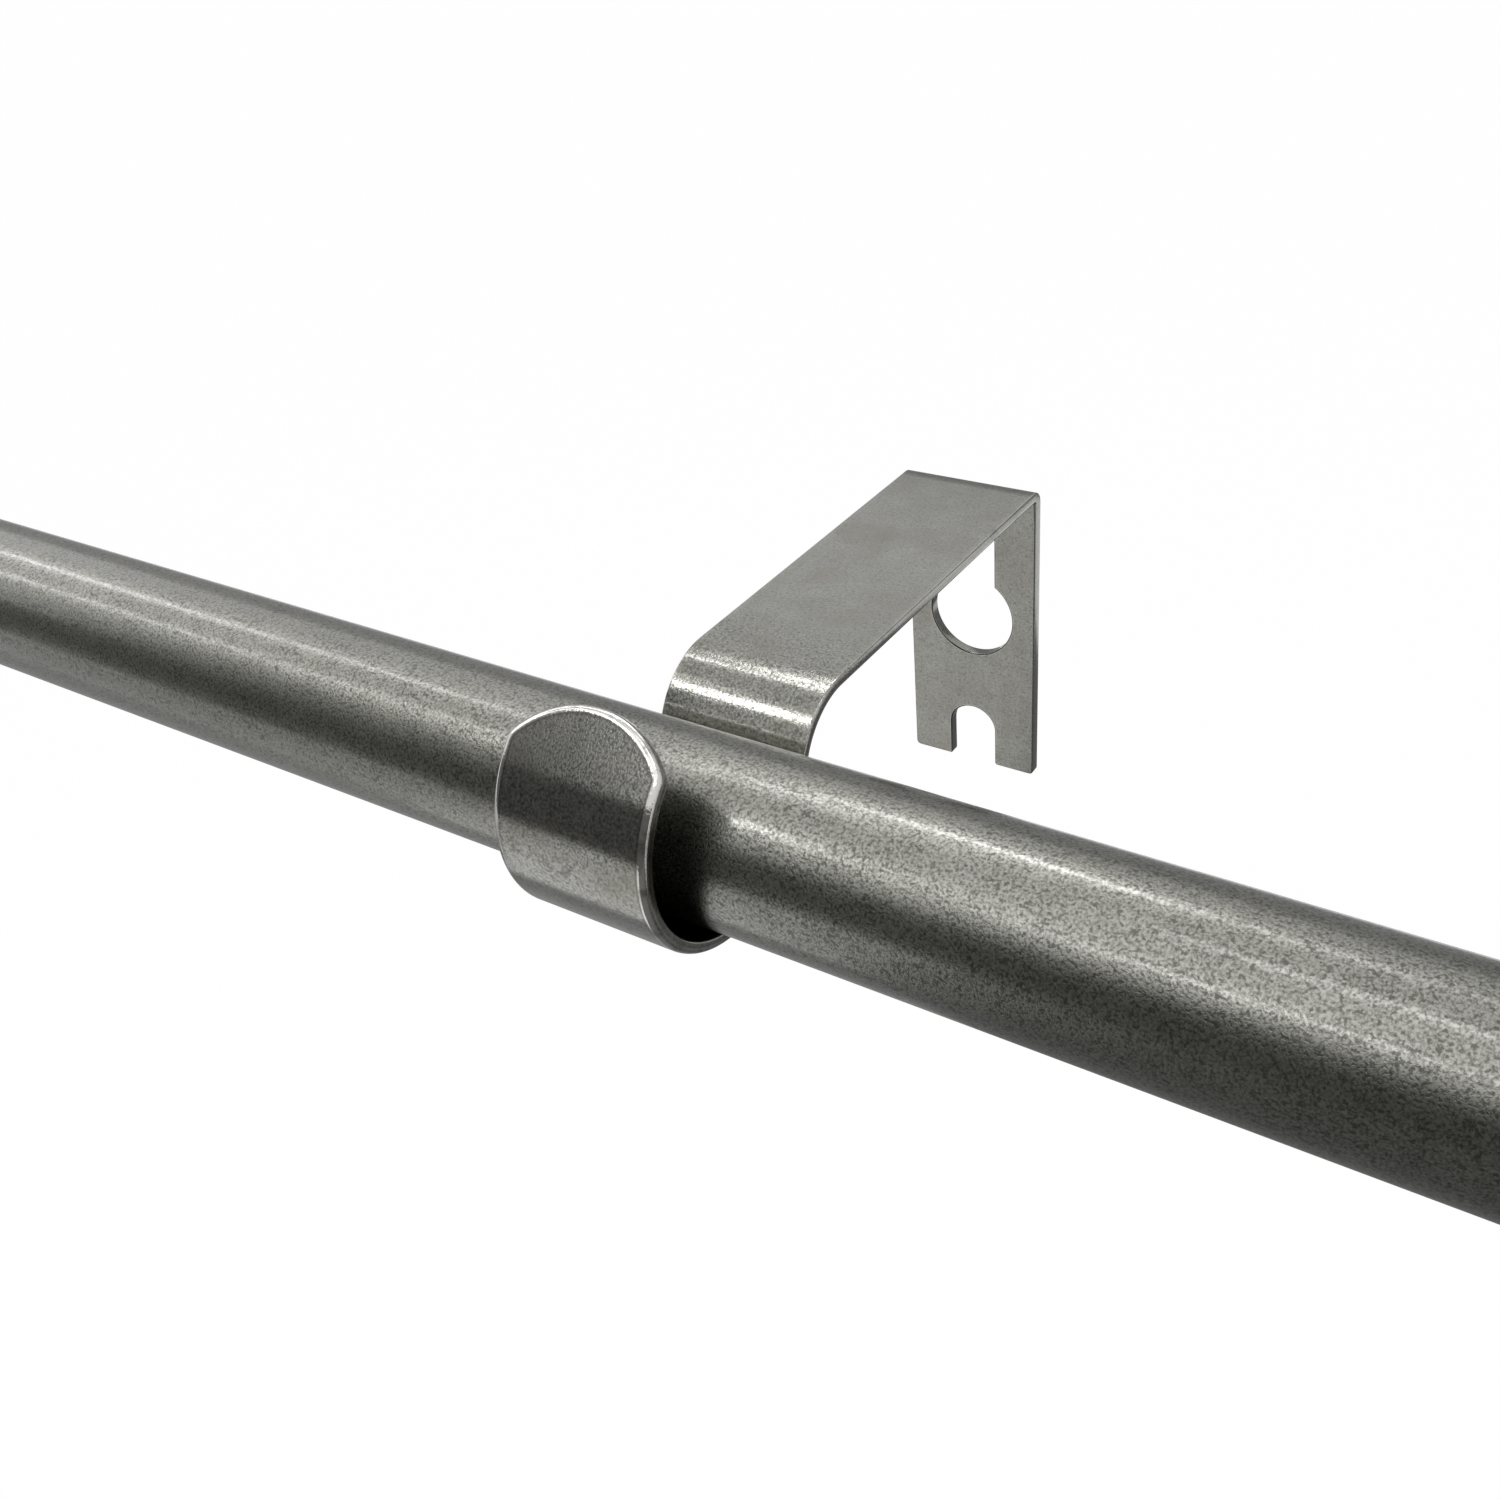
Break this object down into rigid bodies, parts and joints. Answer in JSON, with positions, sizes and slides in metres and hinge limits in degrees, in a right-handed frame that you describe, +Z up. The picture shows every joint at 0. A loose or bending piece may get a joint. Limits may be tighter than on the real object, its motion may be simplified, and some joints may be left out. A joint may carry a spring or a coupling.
{
  "type": "extendable curtain rod",
  "caption": "Round telescoping curtain rod resting in two folded-strap brackets, each with a C-hook, a flat arm and a keyhole wall plate, in speckled pewter.",
  "frame": {"origin": "on the back face of the right bracket's wall plate, mid-width, on the web between the keyhole and the foot slot", "axes": "+X along the rod towards the fixed outer tube's capped end, +Y into the wall, +Z up"},
  "size_m": [0.9144, 0.0703, 0.0451],
  "materials": {
    "strap_pewter": "satin plated steel, speckled pewter",
    "tube_pewter": "satin plated steel, speckled pewter",
    "cap_pewter": "satin plated metal, speckled pewter",
    "nylon": "plain dark nylon"
  },
  "bodies": {
    "fixed_side": {"right_bracket": "strap_pewter", "outer_tube": "tube_pewter", "mouth_bush": "nylon", "outer_end_plug": "nylon", "outer_end_cap": "cap_pewter"},
    "left_bracket": {"left_bracket": "strap_pewter"},
    "inner_rod": {"inner_tube": "tube_pewter", "glide_plug": "nylon", "inner_end_plug": "nylon", "inner_end_cap": "cap_pewter"}
  },
  "joints": [
    {"name": "extension", "type": "slide", "parent": "fixed_side", "child": "left_bracket", "axis": [-1, 0, 0], "range_m": [-0.2032, 0.3048]},
    {"name": "inner_turn", "type": "hinge", "parent": "left_bracket", "child": "inner_rod", "pos_m": [-0.7424, -0.0579, 0.019], "axis": [1, 0, 0], "continuous": true}
  ]
}
